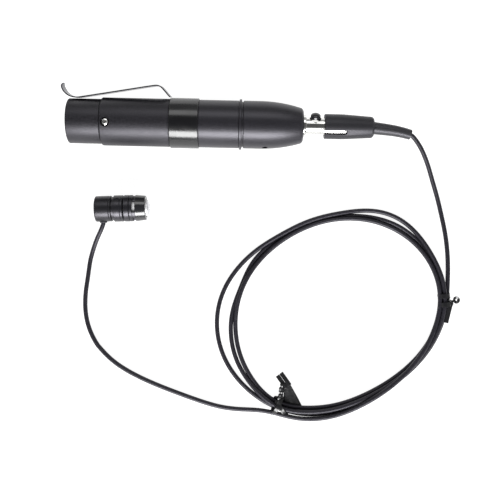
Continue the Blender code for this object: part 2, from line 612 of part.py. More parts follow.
def main():
    clear_scene()
    looks = make_materials()
    table = make_empty("table_origin", (PREAMP_X, PREAMP_Y, 0.0))
    preamp_axis = make_empty("preamp_axis", (0.0, 0.0, RING_RADIUS), table, (PREAMP_ROLL, 0.0, 0.0))
    plug_axis = make_empty("plug_axis", (0.0, 0.0, RING_RADIUS), table, (PLUG_ROLL, 0.0, 0.0))
    head_axis = make_empty("head_axis", (HEAD_X, HEAD_Y, HEAD_RADIUS), table, (0.0, 0.0, HEAD_YAW))
    screw_axis = build_output_connector(preamp_axis, looks)
    build_body(preamp_axis, screw_axis, looks)
    build_clip(preamp_axis, looks)
    build_electronics(preamp_axis, looks)
    build_socket(preamp_axis, looks)
    build_plug(plug_axis, looks)
    build_head(head_axis, looks)
    build_cord(table, looks)
    build_ties(table, looks)


main()
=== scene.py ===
import math

import bmesh
import bpy
from mathutils import Matrix, Vector


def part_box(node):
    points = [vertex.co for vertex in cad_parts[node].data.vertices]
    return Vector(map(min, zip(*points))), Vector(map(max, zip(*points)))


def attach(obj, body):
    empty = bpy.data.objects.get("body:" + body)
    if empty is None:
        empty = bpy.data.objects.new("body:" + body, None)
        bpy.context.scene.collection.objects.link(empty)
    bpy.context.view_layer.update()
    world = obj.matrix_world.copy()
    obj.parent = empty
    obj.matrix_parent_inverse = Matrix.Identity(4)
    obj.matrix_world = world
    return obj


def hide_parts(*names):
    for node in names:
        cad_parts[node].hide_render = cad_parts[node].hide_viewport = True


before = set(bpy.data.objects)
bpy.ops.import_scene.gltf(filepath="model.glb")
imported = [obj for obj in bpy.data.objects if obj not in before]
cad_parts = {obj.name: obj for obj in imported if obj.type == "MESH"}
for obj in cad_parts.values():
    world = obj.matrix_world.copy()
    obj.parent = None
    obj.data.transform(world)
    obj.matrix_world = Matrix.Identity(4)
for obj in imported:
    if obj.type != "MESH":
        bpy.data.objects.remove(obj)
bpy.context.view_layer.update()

mm = 0.001
looks = {}  # the materials by name, filled by makeLooks

# the preamplifier lies along X, the plug is turned in it, and the head has its own axis
shellLow, shellHigh = [Vector(corner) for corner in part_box("xlr_shell")]
ringLow, ringHigh = [Vector(corner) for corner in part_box("seam_ring")]
places = {
    "preampRoll": 10.0,  # rolls and yaw in degrees, the rest in mm
    "plugRoll": 38.0,
    "headX": 11.1,  # rear of the head, from the output end and the preamplifier's axis
    "headY": -37.68,
    "headHeight": 5.82,
    "headYaw": 2.6,
}
outputEnd = Vector((shellLow.x, (ringLow.y + ringHigh.y) / 2, 0.0))
axisHeight = Vector((0, 0, (ringLow.z + ringHigh.z) / 2))


def turnAbout(degrees, axis):
    return Matrix.Rotation(math.radians(degrees), 4, axis)


preampPlace = Matrix.Translation(outputEnd + axisHeight) @ turnAbout(places["preampRoll"], "X")
plugPlace = Matrix.Translation(outputEnd + axisHeight) @ turnAbout(places["plugRoll"], "X")
headCorner = Vector((places["headX"], places["headY"], places["headHeight"])) * mm
headPlace = Matrix.Translation(outputEnd + headCorner) @ turnAbout(places["headYaw"], "Z")


def radialPlace(base, x, degrees):
    # its own +X points away from the base's axis, degrees from +Z towards -Y
    return base @ Matrix.Translation((x * mm, 0, 0)) @ turnAbout(degrees, "X") @ turnAbout(-90, "Y")


cameraPlan = {"right": 79.3, "back": -54.2, "above": 320.0, "lens": 53.2, "turn": 1.27}


def makeCamera(plan):
    data = bpy.data.cameras.new("camera")
    data.lens = plan["lens"]
    data.sensor_width = 36.0
    data.clip_start = 0.01
    data.clip_end = 10.0
    camera = bpy.data.objects.new("camera", data)
    bpy.context.scene.collection.objects.link(camera)
    camera.location = outputEnd + axisHeight + Vector((plan["right"], plan["back"], plan["above"])) * mm
    camera.rotation_euler = (0, 0, math.radians(plan["turn"]))
    bpy.context.scene.camera = camera
    print("camera placed")


def softCorners(outline, steps=4):
    # outline points are (x, y) or (x, y, corner radius); a corner with a radius becomes a short curve
    points = [Vector(point[:2]) for point in outline]
    done = []
    for index, point in enumerate(points):
        radius = outline[index][2] if len(outline[index]) > 2 else 0
        before = points[index - 1] - point
        after = points[(index + 1) % len(points)] - point
        if not radius:
            done.append(point)
            continue
        half = before.angle(after) / 2
        reach = min(radius / math.tan(half), 0.48 * before.length, 0.48 * after.length)
        start = point + before.normalized() * reach
        end = point + after.normalized() * reach
        for step in range(steps + 1):
            t = step / steps
            done.append(start.lerp(point, t).lerp(point.lerp(end, t), t))
    return done


def turned(outline, sides=96, hollow=True):
    bm = bmesh.new()
    verts = [bm.verts.new((x * mm, 0, y * mm)) for x, y in softCorners(outline)]
    edges = [bm.edges.new(pair) for pair in zip(verts, verts[1:])]
    if hollow:
        edges.append(bm.edges.new((verts[-1], verts[0])))
    bmesh.ops.spin(bm, geom=verts + edges, cent=(0, 0, 0), axis=(1, 0, 0), angle=math.tau,
                   steps=sides, use_merge=True)
    return bm


def block(low, high, bevel=0.0):
    bm = bmesh.new()
    bmesh.ops.create_cube(bm, size=1.0)
    size = Vector(high) - Vector(low)
    bmesh.ops.scale(bm, vec=size * mm, verts=bm.verts)
    bmesh.ops.translate(bm, vec=(Vector(low) + size / 2) * mm, verts=bm.verts)
    if bevel:
        bmesh.ops.bevel(bm, geom=bm.edges, offset=bevel * mm, offset_type="OFFSET", segments=3,
                        profile=0.5, affect="EDGES", material=-1)
    return bm


def rod(start, end, radius, sides=48, tip=0.0):
    outline = [(start, 0), (start, radius, tip), (end, radius, tip), (end, 0)]
    return turned(outline, sides, hollow=False)


def wedge(outline, half, steps=24):
    # an outline (x, r) turned about X, half degrees to each side of +Z
    bm = bmesh.new()
    face = bm.faces.new([bm.verts.new((x * mm, 0, r * mm)) for x, r in outline])
    start = Matrix.Rotation(math.radians(-half), 3, "X")
    bmesh.ops.rotate(bm, verts=bm.verts, cent=(0, 0, 0), matrix=start)
    bmesh.ops.spin(bm, geom=[face], cent=(0, 0, 0), axis=(1, 0, 0), angle=math.radians(2 * half),
                   steps=steps)
    return bm


def toMesh(bm, name, place):
    bmesh.ops.remove_doubles(bm, verts=bm.verts, dist=1e-7)
    bmesh.ops.recalc_face_normals(bm, faces=bm.faces)
    bmesh.ops.transform(bm, matrix=place, verts=bm.verts)
    mesh = bpy.data.meshes.new(name)
    bm.to_mesh(mesh)
    bm.free()
    return mesh


def addObject(name, data):
    item = bpy.data.objects.new(name, data)
    bpy.context.scene.collection.objects.link(item)
    return item


def shade(mesh, sharp=32.0):
    mesh.shade_smooth()
    mesh.set_sharp_from_angle(angle=math.radians(sharp))


def settle(piece, body, replaced=(), sharp=32.0):
    if piece.type == "MESH":
        shade(piece.data, sharp)
    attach(piece, body)
    if replaced:
        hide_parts(*replaced)


def makePiece(name, bm, place, look, body, replaced):
    piece = addObject(name, toMesh(bm, name, place))
    piece.data.materials.append(looks[look])
    settle(piece, body, replaced)
    return piece


def tool(bm, place):
    return addObject("cutter", toMesh(bm, "cutter", place))


def applyFinish(piece, sharp=32.0):
    # turns the piece's modifiers into its mesh and shades it again
    graph = bpy.context.evaluated_depsgraph_get()
    mesh = bpy.data.meshes.new_from_object(piece.evaluated_get(graph))
    piece.modifiers.clear()
    piece.data = mesh
    shade(mesh, sharp)


def bulk(mesh):
    bm = bmesh.new()
    bm.from_mesh(mesh)
    volume = bm.calc_volume()
    bm.free()
    return volume


def carve(piece, tools, operation="DIFFERENCE"):
    # once in many runs a cut comes out empty, so it is made again until most of the piece is there
    whole = piece.data
    for _ in range(5):
        piece.data = whole
        for cutter in tools:
            cut = piece.modifiers.new("cut", "BOOLEAN")
            cut.object = cutter
            cut.operation = operation
            cut.solver = "EXACT"
        applyFinish(piece)
        if bulk(piece.data) > bulk(whole) / 2:
            break
        print("cut made again:", piece.name)
    else:
        raise RuntimeError("a cut failed in " + piece.name)
    for cutter in tools:
        bpy.data.objects.remove(cutter)


def softEdges(piece, width, segments, angle):
    bevel = piece.modifiers.new("soft_edges", "BEVEL")
    bevel.width = width * mm
    bevel.segments = segments
    bevel.limit_method = "ANGLE"
    bevel.angle_limit = math.radians(angle)
    bevel.harden_normals = False


def smoothLine(points, step, fine=16):
    # a Catmull-Rom curve through the points, read at equal steps
    route = [Vector(point) for point in points]
    padded = [2 * route[0] - route[1]] + route + [2 * route[-1] - route[-2]]
    dense = []
    for a, b, c, d in zip(padded, padded[1:], padded[2:], padded[3:]):
        for part in range(fine):
            t = part / fine
            dense.append(0.5 * (2 * b + (c - a) * t + (2 * a - 5 * b + 4 * c - d) * t * t
                                + (3 * b - a - 3 * c + d) * t ** 3))
    dense.append(route[-1])
    reach = [0.0]
    for a, b in zip(dense, dense[1:]):
        reach.append(reach[-1] + (b - a).length)
    count = max(2, round(reach[-1] / step))
    line = []
    index = 0
    for place in range(count):
        goal = reach[-1] * place / count
        while reach[index + 1] < goal:
            index += 1
        share = (goal - reach[index]) / (reach[index + 1] - reach[index])
        line.append(dense[index].lerp(dense[index + 1], share))
    return line + [route[-1]]


def lineLength(line):
    return sum((b - a).length for a, b in zip(line, line[1:]))


def roundCord(name, line, radii, look, resolution):
    # a tube along a line in metres, its radius in mm running evenly between the two values
    curve = bpy.data.curves.new(name, "CURVE")
    curve.dimensions = "3D"
    curve.bevel_depth = mm
    curve.bevel_resolution = resolution
    curve.use_fill_caps = True
    spline = curve.splines.new("POLY")
    spline.points.add(len(line) - 1)
    for index, (point, place) in enumerate(zip(spline.points, line)):
        share = index / (len(line) - 1)
        point.co = (*place, 1.0)
        point.radius = radii[0] + (radii[1] - radii[0]) * share
    spline.use_smooth = True
    piece = addObject(name, curve)
    curve.materials.append(looks[look])
    return piece


def ribbon(name, stations, look, thickness, across, along, ridge=0.0):
    # a flat strip: stations are (point in metres, half width in mm, side vector), evenly blended
    bm = bmesh.new()
    bmesh.ops.create_grid(bm, x_segments=along, y_segments=across, size=0.5)
    last = len(stations) - 1
    for vert in bm.verts:
        u = (vert.co.x + 0.5) * last
        index = min(int(u), last - 1)
        share = u - index
        a, b = stations[index], stations[index + 1]
        side = a[2].lerp(b[2], share).normalized()
        width = a[1] + (b[1] - a[1]) * share
        raised = max(0.0, 1.0 - abs(vert.co.y) * 5) * ridge  # a ridge along the middle
        up = side.cross(b[0] - a[0]).normalized()
        up *= math.copysign(1.0, up.z)
        vert.co = a[0].lerp(b[0], share) + side * width * mm * 2 * vert.co.y + up * raised * mm
    mesh = toMesh(bm, name, Matrix.Identity(4))
    piece = addObject(name, mesh)
    mesh.materials.append(looks[look])
    shell = piece.modifiers.new("wall", "SOLIDIFY")
    shell.thickness = thickness * mm
    shell.offset = 0.0
    return piece


def newLook(name, colour, roughness, metallic=0.0, specular=0.5, gleam=(1.0, 1.0, 1.0)):
    material = bpy.data.materials.new(name)
    material.use_nodes = True
    shader = material.node_tree.nodes["Principled BSDF"]
    shader.inputs["Base Color"].default_value = (*colour, 1)
    shader.inputs["Roughness"].default_value = roughness
    shader.inputs["Metallic"].default_value = metallic
    shader.inputs["Specular IOR Level"].default_value = specular
    shader.inputs["Specular Tint"].default_value = (*gleam, 1)
    looks[name] = material
    return material, shader


def addNoise(material, size, detail, stretch=(1, 1, 1)):
    # noise whose grains are about size mm across, in the object's own coordinates
    nodes, links = material.node_tree.nodes, material.node_tree.links
    coords = nodes.new("ShaderNodeTexCoord")
    mapping = nodes.new("ShaderNodeMapping")
    mapping.inputs["Scale"].default_value = stretch
    noise = nodes.new("ShaderNodeTexNoise")
    noise.inputs["Scale"].default_value = 1 / (size * mm)
    noise.inputs["Detail"].default_value = detail
    links.new(coords.outputs["Object"], mapping.inputs["Vector"])
    links.new(mapping.outputs["Vector"], noise.inputs["Vector"])
    return noise.outputs["Fac"]


def spread(material, value, low, high, socket, start, end):
    # sends a noise value to a shader socket as a number or a colour between low and high
    nodes, links = material.node_tree.nodes, material.node_tree.links
    shader = nodes["Principled BSDF"]
    if isinstance(low, (int, float)):
        ranged = nodes.new("ShaderNodeMapRange")
        ranged.inputs["From Min"].default_value = start
        ranged.inputs["From Max"].default_value = end
        ranged.inputs["To Min"].default_value = low
        ranged.inputs["To Max"].default_value = high
        links.new(value, ranged.inputs["Value"])
        links.new(ranged.outputs["Result"], shader.inputs[socket])
        return
    ramp = nodes.new("ShaderNodeValToRGB")
    ramp.color_ramp.elements[0].position = start
    ramp.color_ramp.elements[0].color = (*low, 1)
    ramp.color_ramp.elements[1].position = end
    ramp.color_ramp.elements[1].color = (*high, 1)
    links.new(value, ramp.inputs["Fac"])
    links.new(ramp.outputs["Color"], shader.inputs[socket])


def addBump(material, value, depth, strength):
    nodes, links = material.node_tree.nodes, material.node_tree.links
    bump = nodes.new("ShaderNodeBump")
    bump.inputs["Distance"].default_value = depth * mm
    bump.inputs["Strength"].default_value = strength
    links.new(value, bump.inputs["Height"])
    links.new(bump.outputs["Normal"], nodes["Principled BSDF"].inputs["Normal"])


coolGleam = (0.93, 0.91, 1.0)  # black finishes reflect slightly blue
# colour and roughness are one value, or two that the grain runs between
# grain is its size in mm, detail and stretch; bump is its depth in mm and strength
finishes = {
    "stovedPaint": {"colour": [(0.0035, 0.0033, 0.0042), (0.0105, 0.01, 0.0128)], "colourEnds": (0.35, 0.65),
                    "roughness": [0.38, 0.5], "grain": (0.7, 4.0), "bump": (0.05, 0.6), "gleam": coolGleam},
    "satinPaint": {"colour": [(0.008, 0.0076, 0.0095), (0.014, 0.0133, 0.0168)], "colourEnds": (0.35, 0.65),
                   "roughness": [0.31, 0.41], "grain": (0.5, 4.0), "bump": (0.03, 0.5), "gleam": coolGleam},
    "glossBandPaint": {"colour": (0.005, 0.005, 0.006), "roughness": [0.17, 0.25], "specular": 0.65,
                       "grain": (3.0, 2.0, (0.4, 1, 1))},
    "bluedSteel": {"colour": [(0.05, 0.05, 0.06), (0.075, 0.075, 0.09)], "roughness": [0.24, 0.31],
                   "metallic": 1.0, "grain": (0.5, 3.0, (0.05, 1, 1))},
    "nickelPlate": {"colour": [(0.72, 0.72, 0.7), (0.84, 0.84, 0.82)], "roughness": [0.1, 0.2],
                    "metallic": 1.0, "grain": (0.8, 3.0, (0.1, 1, 1))},
    "brushedNickel": {"colour": [(0.58, 0.58, 0.6), (0.74, 0.74, 0.76)], "roughness": [0.28, 0.42],
                      "metallic": 1.0, "grain": (0.3, 3.0)},
    "satinSilver": {"colour": [(0.74, 0.74, 0.75), (0.86, 0.86, 0.87)], "roughness": [0.38, 0.5],
                    "metallic": 0.35, "grain": (0.3, 3.0)},
    "goldPlate": {"colour": (0.85, 0.62, 0.25), "roughness": [0.15, 0.28], "metallic": 1.0,
                  "grain": (0.6, 3.0)},
    "blackNylon": {"colour": [(0.006, 0.006, 0.0072), (0.012, 0.012, 0.014)], "roughness": [0.42, 0.54],
                   "grain": (0.25, 3.0), "bump": (0.012, 0.5), "gleam": coolGleam},
    "glossButton": {"colour": (0.01, 0.01, 0.012), "roughness": [0.08, 0.15], "grain": (1.0, 3.0)},
    "cordJacket": {"colour": [(0.008, 0.0076, 0.0105), (0.017, 0.016, 0.021)], "roughness": [0.34, 0.48],
                   "specular": 0.34, "grain": (0.6, 3.0), "bump": (0.02, 0.5), "gleam": coolGleam},
    "bootRubber": {"colour": [(0.012, 0.012, 0.014), (0.026, 0.026, 0.028)], "roughness": [0.35, 0.5],
                   "grain": (0.4, 4.0), "bump": (0.015, 0.5), "gleam": coolGleam},
    "tiePlastic": {"colour": (0.01, 0.01, 0.011), "roughness": [0.14, 0.26], "grain": (1.2, 2.0),
                   "bump": (0.04, 0.5)},
    "anodisedBlack": {"colour": [(0.003, 0.003, 0.004), (0.008, 0.0077, 0.01)], "roughness": [0.28, 0.4],
                      "specular": 0.6, "grain": (0.2, 3.0), "bump": (0.01, 0.4), "gleam": coolGleam},
    "anodisedMatte": {"colour": [(0.003, 0.003, 0.0036), (0.008, 0.0077, 0.0092)], "roughness": [0.31, 0.43],
                      "grain": (0.2, 3.0), "bump": (0.012, 0.5), "gleam": coolGleam},
    "anodisedGloss": {"colour": (0.012, 0.012, 0.014), "roughness": [0.13, 0.22], "specular": 0.8,
                      "grain": (0.5, 3.0)},
    "boardMask": {"colour": [(0.008, 0.07, 0.03), (0.03, 0.17, 0.08)], "colourEnds": (0.48, 0.52),
                  "roughness": 0.3, "grain": (1.6, 0.0, (0.25, 1, 1)), "bump": (0.03, 0.4)},
    "chipEpoxy": {"colour": [(0.015, 0.015, 0.017), (0.035, 0.035, 0.038)], "roughness": 0.5,
                  "grain": (0.15, 3.0)},
    "capacitorSleeve": {"colour": [(0.012, 0.02, 0.06), (0.03, 0.045, 0.1)], "roughness": 0.25,
                        "grain": (2.0, 3.0)},
    "acousticFoam": {"colour": [(0.008, 0.008, 0.009), (0.07, 0.07, 0.072)], "roughness": 0.95,
                     "grain": (0.2, 2.0), "bump": (0.1, 1.0)},
}


def makeLooks():
    for name, finish in finishes.items():
        colour, roughness = finish["colour"], finish["roughness"]
        grainyColour, grainyRoughness = isinstance(colour, list), isinstance(roughness, list)
        material, _ = newLook(name, colour[0] if grainyColour else colour,
                              roughness[0] if grainyRoughness else roughness, finish.get("metallic", 0.0),
                              finish.get("specular", 0.5), finish.get("gleam", (1.0, 1.0, 1.0)))
        grain = addNoise(material, *finish["grain"])
        if grainyColour:
            spread(material, grain, *colour, "Base Color", *finish.get("colourEnds", (0.3, 0.7)))
        if grainyRoughness:
            spread(material, grain, *roughness, "Roughness", 0.3, 0.7)
        if "bump" in finish:
            addBump(material, grain, *finish["bump"])
    print("materials made:", len(looks))


# the cord is one real length from the plug's boot, round the coil and out to the head
cordPlan = {
    "radius": 1.0,
    "length": 1.2,  # metres
    "step": 1.5,
    "strand": 2.04,  # distance between strands that touch
    "low": 1.02,  # height of a strand on the table
    "keptStart": 26,  # points at each end that the smoothing leaves alone
    "keptEnd": 40,
    "smoothing": 24,  # rounds
}
bootRoute = [(128.6, 0.0, 10.75), (131.4, -0.2, 10.74), (134.4, -0.5, 10.7), (138.0, -0.85, 10.62),
             (141.5, -1.3, 10.46), (145.0, -1.95, 10.2), (147.8, -2.62, 9.9)]
plugRoute = [(147.4, -2.5, 9.95), (148.45, -2.95, 9.75), (149.4, -3.75, 9.55), (151.35, -6.0, 8.95),
             (153.7, -9.5, 8.0), (156.5, -15.0, 6.2), (159.4, -22.3, 4.0), (162.0, -29.2, 2.3),
             (164.1, -36.2, 1.35), (166.0, -43.3, 1.02), (167.2, -50.4, 1.02), (167.8, -57.6, 1.02),
             (167.9, -64.3, 1.02)]
headRoute = [(14.65, -43.0, 5.8), (14.6, -43.7, 5.75), (14.45, -44.4, 5.6), (13.4, -46.9, 5.0),
             (11.7, -50.3, 3.8), (10.2, -53.9, 2.6), (9.0, -57.5, 1.7), (8.1, -61.1, 1.15),
             (7.2, -68.3, 1.02), (6.4, -75.4, 1.02), (6.5, -82.6, 1.02), (8.0, -89.7, 1.02),
             (11.4, -96.8, 1.02), (16.9, -103.5, 1.02), (24.2, -108.5, 1.02), (35.0, -113.7, 1.02),
             (49.4, -119.0, 1.02), (63.8, -123.7, 1.02), (71.0, -125.2, 1.02), (78.2, -125.45, 1.02),
             (85.9, -125.3, 1.02)]
coilPlan = {
    "x": 116.2, "y": -81.7,  # centre, from the output end and the preamplifier's axis
    "radius": 43.55,  # the innermost strand's middle line
    "swells": [(1, 1.59, 20.5), (2, 4.03, 32.9), (3, 0.79, 9.2)],  # lobes, mm, degrees of a peak
    "start": 9.2,  # degrees: where the lead from the plug joins
    "end": -120.0,  # degrees: where the lead to the head leaves
    "turns": 3,
    "stepDegrees": 5.0,
    # humps are (mm, centre, width) with angles in degrees
    "dents": [(0.2, -15, 45), (0.4, 125, 40), (0.5, -165, 35), (-0.4, 9, 25), (-1.5, -121, 22)],
    "second": [(1.2, -158, 45), (0.9, 52, 32), (0.9, 143, 17), (-1.0, 167, 14), (0.5, -108, 40),
               (-0.4, -132, 20)],
    "third": [(6.3, -175, 65), (3.3, 60, 32), (1.1, -105, 45), (0.5, 140, 20), (-1.3, -121, 22)],
    "fourth": [(0.95, -112, 60)],
    "gaps": (1.2, 2.1, 0.9),  # least distances: first strand to second, first to third, third to fourth
    "swap": (140.0, 25.0),  # after how many degrees the strands change places, and over how many
    "tieLift": 0.42,
}


def fromOutput(point):
    return outputEnd + Vector(point) * mm


def hump(degrees, centre, width):
    # 1 at the centre, 0 at width degrees from it and beyond
    away = abs(math.remainder(degrees - centre, 360.0)) / width
    return math.cos(away * math.pi / 2) ** 2 if away < 1 else 0.0


def glide(value):
    value = min(max(value, 0.0), 1.0)
    return value * value * (3 - 2 * value)


def humps(degrees, rows, start=0.0):
    return sum((size * hump(degrees, centre, width) for size, centre, width in rows), start)


def innerReach(degrees):
    swell = sum(size * math.cos(lobes * math.radians(degrees - peak))
                for lobes, size, peak in coilPlan["swells"])
    return coilPlan["radius"] + swell - humps(degrees, coilPlan["dents"])


def lanes(degrees):
    # how far out from the innermost strand the next ones lie, at this place round the coil
    toSecond, toThird, toFourth = coilPlan["gaps"]
    second = humps(degrees, coilPlan["second"], toSecond)
    third = humps(degrees, coilPlan["third"], toThird)
    return [0.0, second, third, humps(degrees, coilPlan["fourth"], third + toFourth)]


def nest(gap):
    # how much higher a strand lies on one whose middle is gap mm beside its own
    return math.sqrt(max(cordPlan["strand"] ** 2 - gap * gap, 0.0))


def strandLanes(degrees):
    # distances outwards of the strands, in the order they were laid, on the bottom where there are four
    inner, second, third, fourth = lanes(degrees)
    shift = glide((coilPlan["start"] - 8 - degrees) / 85.0)
    return [fourth + (third - fourth) * shift, third + (second - third) * shift,
            second + (inner - second) * shift, inner + (fourth - inner) * shift]


def coilPoint(turn, degrees):
    low = cordPlan["low"]
    local = math.remainder(degrees, 360.0)
    inBottom = coilPlan["end"] <= local <= coilPlan["start"]
    if inBottom:
        out = strandLanes(local)
        heights = [low, low, low, low]
        heights[1] = low + max(nest(out[0] - out[1]), nest(out[1] - out[2]))
        heights[3] = max(height + nest(abs(out[3] - other)) for height, other in zip(heights[:3], out))
        reach, height = out[turn], heights[turn]
    else:
        inner, second, third, _ = lanes(local)
        travelled = (coilPlan["start"] - local) % 360.0
        swapStart, swapSpan = coilPlan["swap"]
        swap = glide((travelled - swapStart) / swapSpan)  # on the wide left side the strands change places
        reach = (third, second, inner)[turn]
        height = (low + swap * nest(third - second),
                  low + (1 - swap) * nest(second - inner),
                  low + swap * nest(second - inner))[turn]
    lift = coilPlan["tieLift"]
    height += lift * hump(local, tiePlan["sideAngle"], 16) + lift * hump(local, coilPlan["end"], 12)
    angle = math.radians(degrees)
    distance = innerReach(degrees) + reach
    return Vector((coilPlan["x"] + distance * math.cos(angle), coilPlan["y"] + distance * math.sin(angle),
                   height))


def coilRoute():
    points = []
    total = 360.0 * coilPlan["turns"] + coilPlan["start"] - coilPlan["end"]
    count = round(total / coilPlan["stepDegrees"])
    for index in range(count + 1):
        travelled = total * index / count
        points.append(coilPoint(min(int(travelled // 360), 3), coilPlan["start"] - travelled))
    for _ in range(2):  # evens out the heights where one strand climbs on another
        heights = [point.z for point in points]
        for index in range(1, len(points) - 1):
            points[index].z = max(cordPlan["low"], sum(heights[index - 1:index + 2]) / 3)
    return points


def relaxed(line, start, end, rounds):
    # a limp cord has no sharp turns: evens out the line between its two ends, which stay where they are
    for _ in range(rounds):
        before = [point.copy() for point in line]
        for index in range(start, len(line) - end):
            line[index] = before[index] / 2 + (before[index - 1] + before[index + 1]) / 4
    return line


def makeCord():
    route = plugRoute + [tuple(point) for point in coilRoute()[1:]] + headRoute[::-1]
    line = smoothLine([fromOutput(point) for point in route], cordPlan["step"] * mm)
    line = relaxed(line, cordPlan["keptStart"], cordPlan["keptEnd"], cordPlan["smoothing"])
    print("cord length", round(lineLength(line), 4))
    cord = roundCord("cord", line, (cordPlan["radius"], cordPlan["radius"]), "cordJacket", 5)
    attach(cord, "microphone")
    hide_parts("plug_lead", "cable_coil", "mic_lead")
    return cord


outputPlan = {"radius": 9.6, "bore": 8.15, "length": 14.2, "spigot": 8.95, "spigotEnd": 22.2,
              "keyway": ((-1, -1.2, -8.9), (6, 1.2, -7.5)), "face": 14.9, "insertEnd": 20.9, "gap": 0.3,
              "pinStart": 1.6, "pinRadius": 1.2, "pinCircle": 3.9, "pinAngles": (0.0, 180.0, 270.0),
              "screwX": 17.05, "screwHead": 1.4, "screwShank": 0.8, "screwSlot": 0.27}


def makeOutput(plan):
    shell = makePiece("output_shell", turned([
        (0, plan["bore"], 0.25), (0, plan["radius"], 0.5), (plan["length"], plan["radius"], 0.15),
        (plan["length"], plan["spigot"]), (plan["spigotEnd"], plan["spigot"]),
        (plan["spigotEnd"], plan["bore"])]),
        preampPlace, "stovedPaint", "preamp", ["xlr_shell"])
    carve(shell, [tool(block(*plan["keyway"]), preampPlace)])

    rim = plan["bore"] - plan["gap"]
    insert = makePiece("output_insert", turned([
        (plan["face"] + 0.35, 0), (plan["face"] + 0.35, rim - 1.3, 0.15), (plan["face"], rim - 1.0, 0.15),
        (plan["face"], rim, 0.2), (plan["insertEnd"], rim, 0.2), (plan["insertEnd"], 0)], hollow=False),
        preampPlace, "blackNylon", "preamp", ["xlr_insert"])
    holes = []
    for number, degrees in enumerate(plan["pinAngles"], start=1):
        y = plan["pinCircle"] * math.cos(math.radians(degrees))
        z = plan["pinCircle"] * math.sin(math.radians(degrees))
        pinPlace = preampPlace @ Matrix.Translation((0, y * mm, z * mm))
        makePiece(f"output_pin_{number}", turned([
            (plan["pinStart"], 0), (plan["pinStart"], plan["pinRadius"], 0.9),
            (plan["insertEnd"] + 1.1, plan["pinRadius"], 0.1),
            (plan["insertEnd"] + 1.1, 0)], 48, hollow=False), pinPlace, "nickelPlate", "preamp",
            [f"xlr_pin_{number}"])
        holes.append(tool(rod(plan["face"] - 1, plan["insertEnd"] + 1, plan["pinRadius"] + plan["gap"]),
                          pinPlace))
    carve(insert, holes)

    screwPlace = radialPlace(preampPlace, plan["screwX"], 0.0)
    seat = plan["spigot"] + 0.3
    head, shank, slot = plan["screwHead"], plan["screwShank"], plan["screwSlot"]
    screw = makePiece("retaining_screw", turned([
        (6.4, 0), (6.4, shank), (seat, shank), (seat, head, 0.1), (seat + 0.45, head, 0.3),
        (seat + 0.75, shank, 0.4),
        (seat + 0.75, 0)], 48, hollow=False), screwPlace, "nickelPlate", "preamp", ["xlr_retaining_screw"])
    low, high = (seat + 0.2, -1.0, -slot), (seat + 1.2, 1.0, slot)
    carve(screw, [tool(block(low, high), screwPlace @ turnAbout(turn, "X")) for turn in (0, 90)])
    print("output connector done")


bodyPlan = {"radius": 10.28, "bore": 9.15, "start": 14.5, "seatStart": 43.6, "seatEnd": 56.4, "seat": 9.8,
            "frontRadius": 10.2, "end": 73.35, "ringRadius": 10.8, "ringEnd": 74.5, "shoulder": 9.75,
            "noseStart": 75.2, "noseEnd": 101.0, "noseTip": 7.35, "straight": 7.2,
            "noseSpigot": 67.5, "noseBore": 7.65, "noseWall": 8.85, "socketBore": 5.2,
            "setScrewX": 84.7, "setScrewTurn": 70.0, "setScrewHole": 1.15, "setScrewRadius": 0.85,
            "setScrewSocket": 0.45, "screwRecess": 1.95}


def noseOutline(plan):
    radius = plan["frontRadius"] + 0.025
    straightEnd = plan["noseStart"] + plan["straight"]
    span = plan["noseEnd"] - straightEnd
    drop = radius - plan["noseTip"]
    arc = (span * span + drop * drop) / (2 * drop)
    bore, wall = plan["noseBore"], plan["noseWall"]
    outline = [(plan["noseSpigot"], bore), (plan["noseSpigot"], wall), (plan["noseStart"], wall),
               (plan["noseStart"], radius, 0.35), (straightEnd, radius)]
    steps = 16
    for index in range(1, steps + 1):
        x = (span - 0.7) * index / steps
        outline.append((straightEnd + x, radius - arc + math.sqrt(arc * arc - x * x)))
    tip = outline[-1][1]
    outline[-1] = (outline[-1][0], tip, 0.7)
    return outline + [(plan["noseEnd"], tip - 0.9, 0.4), (plan["noseEnd"], plan["socketBore"], 0.2),
                      (97.6, plan["socketBore"]), (97.6, 6.0), (88.0, bore)]


